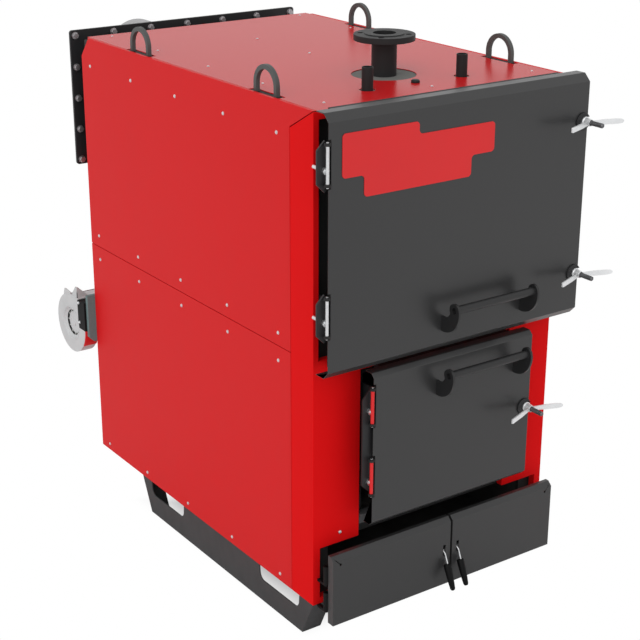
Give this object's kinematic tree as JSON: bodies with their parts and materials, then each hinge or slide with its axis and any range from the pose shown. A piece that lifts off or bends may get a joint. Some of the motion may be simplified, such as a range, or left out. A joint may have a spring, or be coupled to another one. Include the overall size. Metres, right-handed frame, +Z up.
{
  "type": "industrial boiler",
  "caption": "Free-standing steel hot-water boiler for solid fuel, with hinged firing doors, ash door leaves, lifting eyes, a flanged supply on top, a rear flue and a blower.",
  "frame": {"origin": "centre of the whole's box, at the floor", "axes": "+Z up, -Y to the front with the doors, +X to the right as seen from the front"},
  "size_m": [1.0763, 2.0322, 1.778],
  "materials": {
    "red_coat": "smooth satin powder coat",
    "dark_coat": "fine matt powder coat, dark grey",
    "black_coat": "matt black heat-proof coat",
    "zinc": "bright zinc plate",
    "boiler_plate": "grey primer on rolled plate",
    "grate_iron": "rough casting",
    "fibre": "pressed mineral fibre",
    "fan_casting": "fine die-cast surface"
  },
  "bodies": {
    "casing": {"skid_left": "black_coat", "skid_right": "black_coat", "front_frame": "red_coat", "side_panel_left_upper": "red_coat", "side_panel_right_upper": "red_coat", "side_panel_left_lower": "red_coat", "side_panel_right_lower": "red_coat", "top_panel": "red_coat", "insulation_blanket": "fibre", "rear_panel": "red_coat", "body_wall_left": "boiler_plate", "body_wall_right": "boiler_plate", "body_ceiling": "boiler_plate", "body_crown": "boiler_plate", "body_back": "boiler_plate", "body_floor": "boiler_plate", "door_surround_posts": "boiler_plate", "door_surround_bars": "boiler_plate", "door_surround_jambs": "boiler_plate", "grate": "grate_iron", "hinge_plates": "black_coat", "hinge_pins": "zinc", "latch_lugs": "black_coat", "ash_hinge_brackets": "black_coat", "supply_pipe": "black_coat", "return_pipe": "black_coat", "stub_pipes": "black_coat", "sensor_pocket": "black_coat", "lifting_eyes_left": "black_coat", "lifting_eyes_right": "black_coat", "flue_neck": "black_coat", "flue_flange": "black_coat", "smoke_box": "black_coat", "flue_outlet": "black_coat", "fan_duct": "boiler_plate", "fan_adapter": "black_coat", "fan_bracket": "red_coat", "fan_scroll": "fan_casting", "fan_motor": "black_coat"},
    "upper_door": {"upper_door_skin": "dark_coat", "upper_door_body": "boiler_plate", "upper_door_lining": "fibre", "upper_door_handle": "dark_coat", "upper_door_keepers": "dark_coat", "badge_plate": "red_coat"},
    "lower_door": {"lower_door_skin": "dark_coat", "lower_door_body": "boiler_plate", "lower_door_lining": "fibre", "lower_door_handle": "dark_coat", "lower_door_keeper": "dark_coat"},
    "upper_low_nut": {"wing_nut_upper_low": "zinc"},
    "upper_high_nut": {"wing_nut_upper_high": "zinc"},
    "lower_nut": {"wing_nut_lower": "zinc"},
    "left_leaf": {"ash_leaf_left": "dark_coat"},
    "right_leaf": {"ash_leaf_right": "dark_coat"},
    "left_lever": {"ash_lever_left": "black_coat"},
    "right_lever": {"ash_lever_right": "black_coat"},
    "fan_wheel": {"impeller": "zinc"}
  },
  "joints": [
    {"name": "upper_door_hinge", "type": "hinge", "parent": "casing", "child": "upper_door", "pos_m": [-0.51315, -0.93185, 1.284], "axis": [0, 0, -1], "range_deg": [0, 120]},
    {"name": "lower_door_hinge", "type": "hinge", "parent": "casing", "child": "lower_door", "pos_m": [-0.34415, -0.92385, 0.635], "axis": [0, 0, -1], "range_deg": [0, 120]},
    {"name": "upper_low_nut_turn", "type": "hinge", "parent": "upper_door", "child": "upper_low_nut", "pos_m": [0.42735, -0.95015, 1.046], "axis": [0, 1, 0], "continuous": true},
    {"name": "upper_high_nut_turn", "type": "hinge", "parent": "upper_door", "child": "upper_high_nut", "pos_m": [0.42735, -0.95015, 1.524], "axis": [0, 1, 0], "continuous": true},
    {"name": "lower_nut_turn", "type": "hinge", "parent": "lower_door", "child": "lower_nut", "pos_m": [0.25835, -0.94215, 0.632], "axis": [0, 1, 0], "continuous": true},
    {"name": "left_leaf_hinge", "type": "hinge", "parent": "casing", "child": "left_leaf", "pos_m": [-0.47115, -0.87585, 0.2], "axis": [0, 0, -1], "range_deg": [0, 100]},
    {"name": "right_leaf_hinge", "type": "hinge", "parent": "casing", "child": "right_leaf", "pos_m": [0.40585, -0.87585, 0.2], "axis": [0, 0, 1], "range_deg": [0, 100]},
    {"name": "left_lever_pivot", "type": "hinge", "parent": "left_leaf", "child": "left_lever", "pos_m": [-0.04265, -0.90285, 0.202], "axis": [-1, 0, 0], "range_deg": [0, 45]},
    {"name": "right_lever_pivot", "type": "hinge", "parent": "right_leaf", "child": "right_lever", "pos_m": [0.01135, -0.90285, 0.202], "axis": [-1, 0, 0], "range_deg": [0, 45]},
    {"name": "fan_spin", "type": "hinge", "parent": "casing", "child": "fan_wheel", "pos_m": [-0.50265, 0.67915, 0.58], "axis": [1, 0, 0], "continuous": true}
  ]
}
